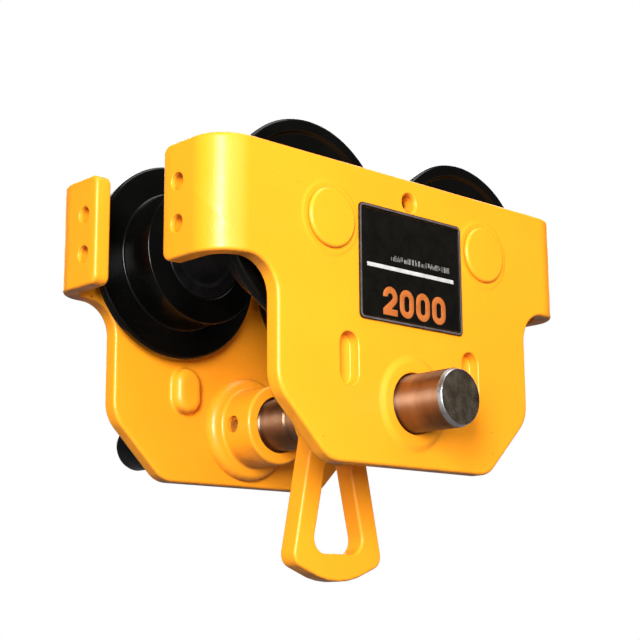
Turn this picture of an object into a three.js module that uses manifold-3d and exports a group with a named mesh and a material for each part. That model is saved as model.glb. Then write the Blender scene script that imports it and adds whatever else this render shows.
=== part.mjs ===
// Push trolley for the lower flange of an I-beam, two tonnes, in millimetres.
// Origin: middle of the beam at its running surface. +X runs along the beam, +Z is up, and the
// front side plate, which carries the nameplate, is at -Y.

import * as THREE from 'three';
import { mergeVertices } from 'three/addons/utils/BufferGeometryUtils.js';
import Module from 'manifold-3d';

const wasm = await Module();
wasm.setup();

// ---------------------------------------------------------------------------- driving dimensions
const FIT = 0.3; // gap between pieces that touch

// Beam and gauge. "v" is the distance from the beam's middle, out towards a side plate.
const BEAM_FLANGE_WIDTH = 122.8;
const FLANGE_PLAY = 3; // beam edge to wheel flange
const WHEEL_PLAY = 6; // wheel to side plate

// Wheels
const WHEELBASE = 145;
const TREAD_R = 48.3;
const TREAD_WIDTH = 28.4;
const RIM_R = 69;
const RIM_T = 7.6;

// Side plates
const PLATE_T = 12;
const PLATE_TOP = 88.3;
const ARM_BOTTOM = 14.7;
const PLATE_BOTTOM = -104.7;
const PLATE_HALF = 163.3; // out to the arms' outer faces
const APRON_HALF = 116.3;
const APRON_FOOT_HALF = 73.6;
const CORNER_Z = -62.8; // where the apron's cut corners start
const BEND_R = 25; // outside radius of the bends
const ARM_FILLET = BEND_R - 3; // under the arms, where they meet the apron
const ARM_END_V = 35.8;
const ARM_CORNER_R = 6;
const SHOULDER_R = 25;
const FOOT_R = 20;

// Load bar, link and bosses
const BAR_Z = -63;
const BAR_R = 19;
const BAR_FRONT_V = 131;
const BAR_REAR_V = 214.5;
const BAR_LEAD = 3; // length of the lead-in chamfers
const BAR_LEAD_DROP = 1.2; // how far they drop
const GROOVE_PITCH = 26.5;
const GROOVE_WIDTH = 6.5;
const GROOVE_DEPTH = 1.2;
const BOSS_BORE_R = 20;
const BOSS_R = 28.4;
const BOSS_END_V = 41.1;
const BOSS_PROUD = 2;
const BOSS_COLLAR_R = 38.5;
const BOSS_COLLAR_T = 8;
const SCREW_V = 58.5;
const SCREW_R = 5.7;
const SCREW_SINK = 2.4; // screw's top below the boss's surface
const SOCKET_R = 3.2;
const SOCKET_DEPTH = 4;
const LINK_V = 12; // where the link rests, towards the front plate
const LINK_T = 15;
const LINK_RING_R = 29;
const LINK_BORE_R = 22;
const LINK_SEAT_Z = -155.8; // where the hook's load rests
const LINK_LOW_Z = -174.3;
const LINK_FOOT_R = 60; // the curved underside
const LINK_FOOT_HALF = 41.3;
const LINK_NECK_HALF = 24.2;
const LINK_NECK_DROP = 16; // the legs start this far below the bar's axis
const EYE_TOP_Z = -94;
const EYE_TOP_HALF = 10.3;
const EYE_SEAT_HALF = 24.2;

// Holes, slots and nameplate
const SLOT_X = 56.9;
const SLOT_Z = -39.3;
const SLOT_SIZE = [16, 34];
const SLOT_DEPTH = 8;
const BUMP_SIZE = [22, 35];
const BUMP_HEIGHT = 8.5;
const TOP_HOLE_Z = 72;
const TOP_HOLE_R = 6.6;
const ARM_HOLE_V = 50;
const ARM_HOLE_R = 5.5;
const ARM_HOLE_Z = [36.3, 62.8];
const LABEL_HALF = 48.4;
const LABEL_Z = [-12.4, 63.9];
const LABEL_T = 1.2;
const LABEL_BORDER = 2.6;

// Axles and bearings
const AXLE_R = 15;
const AXLE_HEAD_R = 19.5;
const AXLE_HEAD_T = 3;
const BEARING_R = 31;
const BEARING_WIDTH = 16;
const BEARING_OUT_V = 60; // bearing seat, from here in towards the beam
const INNER_RACE = { land: 19.4, groove: 18.1 };
const OUTER_RACE = { land: 26.8, groove: 28.3 };
const BALL_PITCH_R = 23;
const BALL_R = 4.5;
const BALLS = 9;
const HUB_SHOULDER_R = 24; // keeps the bearing from moving outwards
const CLIP_GROOVE_W = 2;
const HUB_GROOVE_R = 32.3;
const AXLE_GROOVE_R = 14;
const AXLE_END_V = 41;
const HUB_CLIP = { inner: 29, outer: 31.9, lug: 26.2 };
const AXLE_CLIP = { inner: 14.9, outer: 17.8, lug: 20 };

// Worked out from the above
const RIM_V = BEAM_FLANGE_WIDTH / 2 + FLANGE_PLAY; // wheel flange, the side that guides the beam
const WHEEL_FACE_V = RIM_V + RIM_T;
const WHEEL_BACK_V = RIM_V - TREAD_WIDTH;
const PLATE_IN_V = WHEEL_FACE_V + WHEEL_PLAY;
const PLATE_OUT_V = PLATE_IN_V + PLATE_T;
const AXLE_Z = TREAD_R;
const BEARING_IN_V = BEARING_OUT_V - BEARING_WIDTH;
const CLIP_V = BEARING_IN_V - CLIP_GROOVE_W; // grooves of both circlips
const PAST = 5; // how far a cutting tool runs past the material

// ------------------------------------------------------------------------------ geometry helpers

// Merges shared corners, drops empty triangles and turns the faces outwards.
function closed(geometry) {
  const bare = geometry.clone();
  bare.deleteAttribute('normal');
  bare.deleteAttribute('uv');
  const merged = mergeVertices(bare, 1e-4);
  const position = merged.attributes.position;
  const corners = [0, 1, 2].map(() => new THREE.Vector3());
  const kept = [];
  let volume = 0;
  for (let i = 0; i < merged.index.count; i += 3) {
    const [a, b, c] = [0, 1, 2].map((k) => merged.index.getX(i + k));
    if (a === b || b === c || c === a) continue;
    kept.push(a, b, c);
    [a, b, c].forEach((at, k) => corners[k].fromBufferAttribute(position, at));
    volume += corners[0].dot(corners[1].cross(corners[2]));
  }
  merged.setIndex(volume < 0 ? kept.reverse() : kept);
  return merged;
}

function toSolid(geometry) {
  const whole = closed(geometry);
  const mesh = new wasm.Mesh({
    numProp: 3,
    vertProperties: new Float32Array(whole.attributes.position.array),
    triVerts: new Uint32Array(whole.index.array),
  });
  return new wasm.Manifold(mesh);
}

function toGeometry(solid) {
  const mesh = solid.getMesh();
  const geometry = new THREE.BufferGeometry();
  geometry.setAttribute('position', new THREE.BufferAttribute(new Float32Array(mesh.vertProperties), 3));
  geometry.setIndex(new THREE.BufferAttribute(new Uint32Array(mesh.triVerts), 1));
  geometry.computeVertexNormals();
  return geometry;
}

function cut(base, ...tools) {
  return tools.reduce((solid, tool) => solid.subtract(tool), base);
}

function join(base, ...others) {
  return others.reduce((solid, other) => solid.add(other), base);
}

// A closed outline through corners [x, y, radius], each rounded by its radius.
function roundedShape(corners) {
  const shape = new THREE.Shape();
  const at = (i) => new THREE.Vector2(...corners[(i + corners.length) % corners.length]);
  corners.forEach(([, , radius], i) => {
    const corner = at(i);
    if (!radius) {
      if (i === 0) shape.moveTo(corner.x, corner.y);
      else shape.lineTo(corner.x, corner.y);
      return;
    }
    const back = at(i - 1).sub(corner).normalize();
    const ahead = at(i + 1).sub(corner).normalize();
    const half = Math.acos(back.dot(ahead)) / 2;
    const setback = radius / Math.tan(half);
    const middle = back.clone().add(ahead).normalize();
    const centre = corner.clone().addScaledVector(middle, radius / Math.sin(half));
    const from = corner.clone().addScaledVector(back, setback).sub(centre).angle();
    const to = corner.clone().addScaledVector(ahead, setback).sub(centre).angle();
    shape.absarc(centre.x, centre.y, radius, from, to, back.cross(ahead) > 0);
  });
  return shape;
}

function disc(x, y, radius, sides) {
  const points = [];
  for (let i = 0; i < sides; i += 1) {
    const angle = (i * 2 * Math.PI) / sides;
    points.push(new THREE.Vector2(x + radius * Math.cos(angle), y + radius * Math.sin(angle)));
  }
  return new THREE.Shape(points);
}

// An upright oblong with round ends.
function oblong(x, y, [width, height]) {
  const r = width / 2 - 0.01; // just under half, so that the arcs don't meet
  const [w, h] = [width / 2, height / 2];
  return roundedShape([[x - w, y - h, r], [x + w, y - h, r], [x + w, y + h, r], [x - w, y + h, r]]);
}

function extruded(shape, depth, curveSegments = 4) {
  return new THREE.ExtrudeGeometry(shape, { depth, bevelEnabled: false, curveSegments });
}

// A shape drawn in the (x, z) plane, from distance v0 out to v1 on the front side.
function slab(shape, v0, v1, curveSegments) {
  return extruded(shape, v1 - v0, curveSegments).translate(0, 0, v0).rotateX(Math.PI / 2);
}

// A shape drawn in the (y, z) plane, from x0 to x1.
function crossways(shape, x0, x1, curveSegments) {
  const geometry = extruded(shape, x1 - x0, curveSegments);
  return geometry.translate(0, 0, x0).rotateX(Math.PI / 2).rotateZ(Math.PI / 2);
}

// A turned piece about the Y axis: profile points are [radius, v] on the front side.
function turned(profile, sides, closeLoop = true) {
  const points = profile.map(([radius, v]) => new THREE.Vector2(radius, -v));
  if (closeLoop) points.push(points[0].clone());
  return new THREE.LatheGeometry(points, sides);
}

// A ring with a gap at its lowest point, the shape of a circlip with its two lugs.
function circlip({ inner, outer, lug }, v0, v1) {
  const halfGap = 0.22; // angles, in radians
  const lugArc = 0.2;
  const steps = 10;
  const start = -Math.PI / 2 + halfGap;
  const end = (3 * Math.PI) / 2 - halfGap;
  const [first, last] = [start + lugArc, end - lugArc];
  const at = (radius, angle) => new THREE.Vector2(radius * Math.cos(angle), radius * Math.sin(angle));
  const arc = (radius) => {
    const points = [];
    for (let i = 0; i <= steps; i += 1) points.push(at(radius, first + ((last - first) * i) / steps));
    return points;
  };
  const [outEnd, inEnd] = lug > outer ? [lug, inner] : [outer, lug];
  const points = [at(outEnd, start), at(outEnd, first), ...arc(outer), at(outEnd, last), at(outEnd, end)];
  points.push(at(inEnd, end), at(inEnd, last), ...arc(inner).reverse(), at(inEnd, first), at(inEnd, start));
  return slab(new THREE.Shape(points), v0, v1);
}

// ------------------------------------------------------------------------------------- materials
const material = (color, roughness, metalness) => (
  () => new THREE.MeshStandardMaterial({ color, roughness, metalness })
);
const paint = material(0xf2b31c, 0.28, 0);
const blackGloss = material(0x141416, 0.22, 0.2);
const barSteel = material(0x6b5646, 0.35, 0.9);
const steel = material(0xa9abad, 0.35, 1);
const springSteel = material(0x2c2c2e, 0.4, 0.8);
const labelBlack = material(0x12110f, 0.35, 0);
const labelFrame = material(0x8f8289, 0.3, 0.6);

function piece(name, geometry, material) {
  const mesh = new THREE.Mesh(closed(geometry), material);
  mesh.name = name;
  return mesh;
}

// ------------------------------------------------------------------------------- the load and bar
function loadBar() {
  const profile = [
    [0, BAR_FRONT_V],
    [BAR_R - BAR_LEAD_DROP, BAR_FRONT_V],
    [BAR_R, BAR_FRONT_V - BAR_LEAD],
  ];
  for (const step of [1.5, 0.5, -0.5, -1.5]) {
    const [high, low] = [1, -1].map((side) => step * GROOVE_PITCH + (side * GROOVE_WIDTH) / 2);
    profile.push(
      [BAR_R, high],
      [BAR_R - GROOVE_DEPTH, high - GROOVE_DEPTH],
      [BAR_R - GROOVE_DEPTH, low + GROOVE_DEPTH],
      [BAR_R, low],
    );
  }
  profile.push([BAR_R, -BAR_REAR_V + BAR_LEAD], [BAR_R - BAR_LEAD_DROP, -BAR_REAR_V], [0, -BAR_REAR_V]);
  return turned(profile, 28, false).translate(0, 0, BAR_Z);
}

function suspensionLink() {
  const foot = (x) => LINK_LOW_Z + LINK_FOOT_R - Math.sqrt(LINK_FOOT_R ** 2 - x ** 2);
  const kneeZ = foot(30) + 4;
  const legs = roundedShape([
    [-LINK_NECK_HALF, BAR_Z - LINK_NECK_DROP, 0],
    [-LINK_FOOT_HALF, kneeZ, 9],
    ...[-26, -13, 0, 13, 26].map((x) => [x, foot(x), x ? 20 : 0]),
    [LINK_FOOT_HALF, kneeZ, 9],
    [LINK_NECK_HALF, BAR_Z - LINK_NECK_DROP, 0],
    [0, BAR_Z, 0],
  ]);
  const eye = roundedShape([
    [-EYE_TOP_HALF, EYE_TOP_Z, 6],
    [-EYE_SEAT_HALF, LINK_SEAT_Z, 10],
    [EYE_SEAT_HALF, LINK_SEAT_Z, 10],
    [EYE_TOP_HALF, EYE_TOP_Z, 6],
  ]);
  const [back, front] = [LINK_V - LINK_T / 2, LINK_V + LINK_T / 2];
  const body = join(
    toSolid(slab(disc(0, BAR_Z, LINK_RING_R, 36), back, front)),
    toSolid(slab(legs, back, front, 3)),
  );
  const bore = toSolid(slab(disc(0, BAR_Z, LINK_BORE_R, 36), back - PAST, front + PAST));
  return toGeometry(cut(body, bore, toSolid(slab(eye, back - PAST, front + PAST, 3))));
}

function linkBush() {
  const [back, front] = [LINK_V - LINK_T / 2, LINK_V + LINK_T / 2];
  const [bore, outside] = [BAR_R + 0.5, LINK_BORE_R - FIT];
  return turned([[bore, back], [outside, back], [outside, front], [bore, front]], 28).translate(0, 0, BAR_Z);
}

// ------------------------------------------------------------------------------------ side plates
function sidePlate() {
  const armInside = PLATE_HALF - PLATE_T;
  const endR = 2.5;
  // Seen from above: a shallow U with its arms towards the beam.
  const plan = roundedShape([
    [-PLATE_HALF, -ARM_END_V, endR],
    [-PLATE_HALF, -PLATE_OUT_V, BEND_R],
    [PLATE_HALF, -PLATE_OUT_V, BEND_R],
    [PLATE_HALF, -ARM_END_V, endR],
    [armInside, -ARM_END_V, endR],
    [armInside, -PLATE_IN_V, BEND_R - PLATE_T],
    [-armInside, -PLATE_IN_V, BEND_R - PLATE_T],
    [-armInside, -ARM_END_V, endR],
  ]);
  // Seen from the front: the arms' band above and the apron below.
  const past = PLATE_HALF + PAST;
  const front = roundedShape([
    [-past, PLATE_TOP, 0],
    [-past, ARM_BOTTOM, 0],
    [-APRON_HALF, ARM_BOTTOM, ARM_FILLET],
    [-APRON_HALF, CORNER_Z, SHOULDER_R],
    [-APRON_FOOT_HALF, PLATE_BOTTOM, FOOT_R],
    [APRON_FOOT_HALF, PLATE_BOTTOM, FOOT_R],
    [APRON_HALF, CORNER_Z, SHOULDER_R],
    [APRON_HALF, ARM_BOTTOM, ARM_FILLET],
    [past, ARM_BOTTOM, 0],
    [past, PLATE_TOP, 0],
  ]);
  // Seen from the end: the arms' rounded corners.
  const seam = PLATE_IN_V - 1;
  const end = roundedShape([
    [-PLATE_OUT_V - PAST, PLATE_BOTTOM - PAST, 0],
    [-seam, PLATE_BOTTOM - PAST, 0],
    [-seam, ARM_BOTTOM, 0],
    [-ARM_END_V, ARM_BOTTOM, ARM_CORNER_R],
    [-ARM_END_V, PLATE_TOP, ARM_CORNER_R],
    [-PLATE_OUT_V - PAST, PLATE_TOP, 0],
  ]);
  const band = extruded(plan, PLATE_TOP - PLATE_BOTTOM + 2 * PAST, 3).translate(0, 0, PLATE_BOTTOM - PAST);
  const blank = toSolid(band)
    .intersect(toSolid(slab(front, ARM_END_V - PAST, PLATE_OUT_V + PAST, 3)))
    .intersect(toSolid(crossways(end, -past, past, 2)));

  const through = [PLATE_IN_V - PAST, PLATE_OUT_V + PAST];
  const bore = (x, z, radius, sides) => slab(disc(x, z, radius, sides), ...through);
  const slots = (size, ...span) => (
    [-1, 1].map((hand) => slab(oblong(hand * SLOT_X, SLOT_Z, size), ...span, 3))
  );
  const holes = [
    bore(0, BAR_Z, BOSS_R + FIT, 28),
    bore(0, TOP_HOLE_Z, TOP_HOLE_R, 16),
    ...[-1, 1].map((hand) => bore((hand * WHEELBASE) / 2, AXLE_Z, AXLE_R + FIT, 20)),
    ...slots(SLOT_SIZE, PLATE_OUT_V - SLOT_DEPTH, PLATE_OUT_V + PAST),
    ...ARM_HOLE_Z.map((z) => crossways(disc(-ARM_HOLE_V, z, ARM_HOLE_R, 16), -past, past)),
  ];
  const bumps = slots(BUMP_SIZE, PLATE_IN_V - BUMP_HEIGHT, PLATE_IN_V + 1).map(toSolid);
  return toGeometry(cut(join(blank, ...bumps), ...holes.map(toSolid)));
}

function boss() {
  const collarV = PLATE_IN_V - FIT - BOSS_COLLAR_T;
  const faceV = PLATE_OUT_V + BOSS_PROUD;
  const [endEdge, faceEdge] = [1.5, 1];
  const tube = turned([
    [BOSS_BORE_R, BOSS_END_V],
    [BOSS_R - endEdge, BOSS_END_V],
    [BOSS_R, BOSS_END_V + endEdge],
    [BOSS_R, collarV],
    [BOSS_COLLAR_R - 6.5, collarV],
    [BOSS_COLLAR_R - 1.9, collarV + 1.9],
    [BOSS_COLLAR_R, collarV + 6.5],
    [BOSS_COLLAR_R, PLATE_IN_V - FIT],
    [BOSS_R, PLATE_IN_V - FIT],
    [BOSS_R, faceV - faceEdge],
    [BOSS_R - faceEdge, faceV],
    [BOSS_BORE_R, faceV],
  ], 28).translate(0, 0, BAR_Z);
  const screwHole = crossways(disc(-SCREW_V, BAR_Z, SCREW_R + FIT, 16), BOSS_BORE_R - PAST, BOSS_R + PAST);
  return toGeometry(cut(toSolid(tube), toSolid(screwHole)));
}

function setScrew() {
  const [tip, top] = [BAR_R + FIT, BOSS_R - SCREW_SINK];
  const shank = crossways(disc(-SCREW_V, BAR_Z, SCREW_R, 16), tip, top);
  const socket = crossways(disc(-SCREW_V, BAR_Z, SOCKET_R, 6), top - SOCKET_DEPTH, top + PAST);
  return toGeometry(cut(toSolid(shank), toSolid(socket)));
}

// -------------------------------------------------------------------------------------- nameplate
function labelOutline(inset, radius) {
  const half = LABEL_HALF - inset;
  const [low, high] = [LABEL_Z[0] + inset, LABEL_Z[1] - inset];
  return [[-half, low, radius], [half, low, radius], [half, high, radius], [-half, high, radius]];
}

function nameplatePanel() {
  const outline = roundedShape(labelOutline(LABEL_BORDER + FIT, 2));
  return slab(outline, PLATE_OUT_V + FIT, PLATE_OUT_V + FIT + LABEL_T - 0.4, 2);
}

function nameplateFrame() {
  const outline = roundedShape(labelOutline(0, 4));
  outline.holes.push(roundedShape(labelOutline(LABEL_BORDER, 2.3)));
  return slab(outline, PLATE_OUT_V + FIT, PLATE_OUT_V + FIT + LABEL_T, 2);
}

// ------------------------------------------------------------------------------- wheels and axles
function wheel() {
  const edge = 1.4;
  const dish = 2; // the face is lower inside its rim
  return turned([
    [BEARING_R, WHEEL_BACK_V],
    [TREAD_R, WHEEL_BACK_V],
    [TREAD_R, RIM_V],
    [RIM_R - edge, RIM_V],
    [RIM_R, RIM_V + edge],
    [RIM_R, WHEEL_FACE_V - edge],
    [RIM_R - edge, WHEEL_FACE_V],
    [RIM_R - 7.5, WHEEL_FACE_V],
    [RIM_R - 7.5 - dish, WHEEL_FACE_V - dish],
    [HUB_SHOULDER_R, WHEEL_FACE_V - dish],
    [HUB_SHOULDER_R, BEARING_OUT_V],
    [BEARING_R, BEARING_OUT_V],
    [BEARING_R, BEARING_IN_V],
    [HUB_GROOVE_R, BEARING_IN_V],
    [HUB_GROOVE_R, CLIP_V],
    [BEARING_R, CLIP_V],
  ], 28);
}

function axle() {
  const headV = PLATE_OUT_V + FIT;
  const edge = 1.4;
  return turned([
    [0, headV + AXLE_HEAD_T],
    [AXLE_HEAD_R - edge, headV + AXLE_HEAD_T],
    [AXLE_HEAD_R, headV + AXLE_HEAD_T - edge],
    [AXLE_HEAD_R, headV],
    [AXLE_R, headV],
    [AXLE_R, BEARING_IN_V],
    [AXLE_GROOVE_R, BEARING_IN_V],
    [AXLE_GROOVE_R, CLIP_V],
    [AXLE_GROOVE_R + 0.4, CLIP_V],
    [AXLE_GROOVE_R - 0.4, AXLE_END_V],
    [0, AXLE_END_V],
  ], 20, false);
}

function spacer() {
  const [near, far] = [BEARING_OUT_V, PLATE_IN_V - FIT];
  const [bore, outside] = [AXLE_R + 0.5, AXLE_R + 3];
  return turned([[bore, near], [outside, near], [outside, far], [bore, far]], 16);
}

// One race of the bearing: its plain face and the side with the ball groove.
function race(plainR, { land, groove }) {
  const [low, high] = [BEARING_IN_V + FIT, BEARING_OUT_V - FIT];
  const middle = (low + high) / 2;
  return turned([
    [plainR, low],
    [land, low],
    [groove, middle - 1.6],
    [groove, middle + 1.6],
    [land, high],
    [plainR, high],
  ], 18);
}

function ballCage() {
  const middle = (BEARING_IN_V + BEARING_OUT_V) / 2;
  const [r0, r1] = [BALL_PITCH_R - 1, BALL_PITCH_R + 1];
  const band = [[r0, middle - 2], [r1, middle - 2], [r1, middle + 2], [r0, middle + 2]];
  const balls = [];
  for (let i = 0; i < BALLS; i += 1) {
    const angle = (i * 2 * Math.PI) / BALLS;
    const ball = new THREE.SphereGeometry(BALL_R, 6, 4);
    ball.translate(BALL_PITCH_R * Math.sin(angle), -middle, BALL_PITCH_R * Math.cos(angle));
    balls.push(toSolid(ball));
  }
  return toGeometry(join(toSolid(turned(band, BALLS)), ...balls));
}

function dustCap() {
  const capR = BEARING_R - 0.4;
  const face = WHEEL_BACK_V + FIT;
  const [wall, lip] = [2, 4];
  return turned([
    [0, face],
    [capR - 1, face],
    [capR, face + 1],
    [capR, face + lip],
    [capR - wall + 0.4, face + lip],
    [capR - wall, face + wall],
    [0, face + wall],
  ], 18, false);
}

// --------------------------------------------------------------------------------------- assembly
const trolley = new THREE.Group();
trolley.name = 'beam_trolley';
trolley.add(
  piece('load_bar', loadBar(), barSteel()),
  piece('suspension_link', suspensionLink(), paint()),
  piece('link_bush', linkBush(), steel()),
);

// Each side is built as the front one; the rear one is turned half round the Z axis.
for (const side of ['front', 'rear']) {
  const half = new THREE.Group();
  half.rotation.z = side === 'front' ? 0 : Math.PI;
  half.add(
    piece(`${side}_side_plate`, sidePlate(), paint()),
    piece(`${side}_boss`, boss(), paint()),
    piece(`${side}_set_screw`, setScrew(), paint()),
  );
  if (side === 'front') {
    half.add(
      piece('nameplate_panel', nameplatePanel(), labelBlack()),
      piece('nameplate_frame', nameplateFrame(), labelFrame()),
    );
  }
  for (const hand of [-1, 1]) {
    const beamward = side === 'front' ? hand : -hand;
    const corner = `${side}_${beamward < 0 ? 'left' : 'right'}`;
    const station = new THREE.Group();
    station.position.set((hand * WHEELBASE) / 2, 0, AXLE_Z);
    const clipSpan = [CLIP_V + FIT, BEARING_IN_V - FIT];
    station.add(
      piece(`axle_${corner}`, axle(), paint()),
      piece(`spacer_${corner}`, spacer(), steel()),
      piece(`bearing_inner_${corner}`, race(AXLE_R + FIT, INNER_RACE), steel()),
      piece(`ball_cage_${corner}`, ballCage(), steel()),
      piece(`bearing_outer_${corner}`, race(BEARING_R - FIT, OUTER_RACE), steel()),
      piece(`wheel_${corner}`, wheel(), blackGloss()),
      piece(`wheel_circlip_${corner}`, circlip(HUB_CLIP, ...clipSpan), springSteel()),
      piece(`axle_circlip_${corner}`, circlip(AXLE_CLIP, ...clipSpan), springSteel()),
      piece(`dust_cap_${corner}`, dustCap(), springSteel()),
    );
    half.add(station);
  }
  trolley.add(half);
}

export default trolley;
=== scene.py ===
import math
import random

import bmesh
import bpy
from mathutils import Matrix, Vector
from mathutils.geometry import delaunay_2d_cdt


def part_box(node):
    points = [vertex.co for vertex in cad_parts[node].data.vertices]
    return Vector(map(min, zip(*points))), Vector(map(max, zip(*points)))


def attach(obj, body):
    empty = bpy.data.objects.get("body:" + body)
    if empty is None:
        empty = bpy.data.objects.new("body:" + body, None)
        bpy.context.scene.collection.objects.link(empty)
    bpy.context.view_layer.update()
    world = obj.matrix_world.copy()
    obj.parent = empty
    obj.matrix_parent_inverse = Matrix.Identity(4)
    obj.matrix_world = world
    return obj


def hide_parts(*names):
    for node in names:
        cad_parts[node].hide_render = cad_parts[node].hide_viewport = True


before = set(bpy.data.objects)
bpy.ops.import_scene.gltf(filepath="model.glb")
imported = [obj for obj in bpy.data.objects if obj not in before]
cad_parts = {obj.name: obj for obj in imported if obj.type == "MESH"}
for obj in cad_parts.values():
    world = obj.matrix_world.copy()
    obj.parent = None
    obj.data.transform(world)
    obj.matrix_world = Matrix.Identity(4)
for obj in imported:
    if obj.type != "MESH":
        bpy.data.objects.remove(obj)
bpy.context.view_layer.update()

MM = 0.001
SIDES = {"front": -1, "rear": 1}
HANDS = {"left": -1, "right": 1}


def box_mm(node):
    low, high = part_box(node)
    return [Vector(corner) / MM for corner in (low, high)]


def middle(node):
    low, high = box_mm(node)
    return (low + high) / 2


# ------------------------------------------------------------------ sizes taken from the frame
plate_low, plate_high = box_mm("front_side_plate")
PLATE_OUT_V, ARM_END_V = -plate_low.y, -plate_high.y
PLATE_HALF, PLATE_TOP, PLATE_BOTTOM = plate_high.x, plate_high.z, plate_low.z
PLATE_T = 12
PLATE_IN_V = PLATE_OUT_V - PLATE_T
BAR_Z = middle("load_bar").z
BAR_R = box_mm("load_bar")[1].x
AXLE_X = middle("wheel_front_right").x
AXLE_Z = middle("wheel_front_right").z
RIM_R = box_mm("wheel_front_right")[1].z - AXLE_Z
WHEEL_FACE_V = -box_mm("wheel_front_right")[0].y
WHEEL_BACK_V = -box_mm("wheel_front_right")[1].y

# Sizes that the boxes don't show
FIT = 0.3  # gap between pieces that touch
APRON_HALF, APRON_FOOT_HALF, SHOULDER_Z, ARM_BOTTOM = 116.3, 73.6, -62.8, 14.7
BEND_R, SHOULDER_R, FOOT_R, ARM_CORNER_R = 25, 25, 20, 6
PLATE_EDGE = 2.4  # rounding of the plate's edges
TOP_HOLE_Z, TOP_HOLE_R = 72, 6.6
ARM_HOLE_V, ARM_HOLE_R, ARM_HOLES_Z = 50, 5.5, (36.3, 62.8)
THREAD_PITCH = 1.25
SLOT_X, SLOT_Z, SLOT_STRAIGHT = 56.9, -39.3, 18
BUMP_Z, BUMP_STRAIGHT = -40.4, 10.5
BAR_LEAD, BAR_LEAD_DROP = 3, 1.2  # length and drop of the bar's lead-in chamfers
GROOVE_PITCH, GROOVE_HALF, GROOVE_DEPTH = 26.5, 3.25, 1.2
LINK_BORE_R, LINK_FOOT_R, LINK_EYE_TOP_Z, LINK_SEAT_Z = 22, 60, -94, -155.8
BOSS_BORE_R, BOSS_R, BOSS_COLLAR_T = 20, 28.4, 8
SCREW_V, SCREW_R, SOCKET_R, SOCKET_DEPTH = 58.5, 5.7, 3.2, 4
TREAD_R = AXLE_Z
RIM_T = 7.6
AXLE_R, AXLE_HEAD_R, AXLE_HEAD_T, AXLE_END_V = 15, 19.5, 3, 41
BEARING_R = 31
BEARING_OUT_V, BEARING_IN_V = 60, 44
BALL_PITCH_R, BALL_R, BALLS = 23, 4.5, 9
HUB_SHOULDER_R, HUB_GROOVE_R = 24, 32.3
CLIP_V = BEARING_IN_V - 2


# ------------------------------------------------------------------------------ plane geometry
def round_corners(corners, closed=True, steps=6):
    """Points of an outline whose corners (x, y, radius) are rounded by arcs."""
    count = len(corners)
    points = []
    for i, (x, y, radius) in enumerate(corners):
        here = Vector((x, y))
        if not radius or (not closed and i in (0, count - 1)):
            points.append(here)
            continue
        back = (Vector(corners[i - 1][:2]) - here).normalized()
        ahead = (Vector(corners[(i + 1) % count][:2]) - here).normalized()
        half = back.angle(ahead) / 2
        centre = here + (back + ahead).normalized() * radius / math.sin(half)
        first = here + back * radius / math.tan(half) - centre
        turn = math.pi - 2 * half
        if back.cross(ahead) > 0:
            turn = -turn
        for k in range(steps + 1):
            points.append(centre + Matrix.Rotation(turn * k / steps, 2) @ first)
    return points


def circle(x, y, radius, count):
    angles = [2 * math.pi * k / count for k in range(count)]
    return [Vector((x + radius * math.cos(a), y + radius * math.sin(a))) for a in angles]


def oblong(x, y, half_width, straight, count=10):
    """An upright oblong: two half circles and the straight stretch between their centres."""
    points = []
    for end, start in ((1, 0), (-1, math.pi)):
        centre_y = y + end * straight / 2
        for k in range(count + 1):
            a = start + math.pi * k / count
            points.append(Vector((x + half_width * math.cos(a), centre_y + half_width * math.sin(a))))
    return points


def signed_area(loop):
    return sum(a.cross(b) for a, b in zip(loop, loop[1:] + loop[:1])) / 2


def facing(loop, anticlockwise):
    return loop if (signed_area(loop) > 0) == anticlockwise else loop[::-1]


def inset(loop, distance):
    """The loop moved into the material, which lies on its left."""
    if not distance:
        return list(loop)
    moved = []
    for before, here, after in zip(loop[-1:] + loop[:-1], loop, loop[1:] + loop[:1]):
        a, b = (here - before).normalized(), (after - here).normalized()
        normal = Vector((-a.y - b.y, a.x + b.x)).normalized()
        moved.append(here + normal * distance / max(0.3, normal.dot(Vector((-a.y, a.x)))))
    return moved


def inside(point, loop):
    hit = False
    for a, b in zip(loop, loop[1:] + loop[:1]):
        if (a.y > point.y) != (b.y > point.y):
            if point.x < a.x + (point.y - a.y) * (b.x - a.x) / (b.y - a.y):
                hit = not hit
    return hit


def fill(loops):
    """Triangles over the area between an outline and its holes, as index triples into the joined loops."""
    points = [p for loop in loops for p in loop]
    edges, start = [], 0
    for loop in loops:
        edges += [(start + k, start + (k + 1) % len(loop)) for k in range(len(loop))]
        start += len(loop)
    made, _, triangles, sources, _, _ = delaunay_2d_cdt(points, edges, [], 1, 1e-5)
    kept = []
    for triangle in triangles:
        centre = sum((made[k] for k in triangle), Vector((0, 0))) / len(triangle)
        if sum(inside(centre, loop) for loop in loops) == 1:
            kept.append([sources[k][0] for k in triangle])
    return kept


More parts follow.
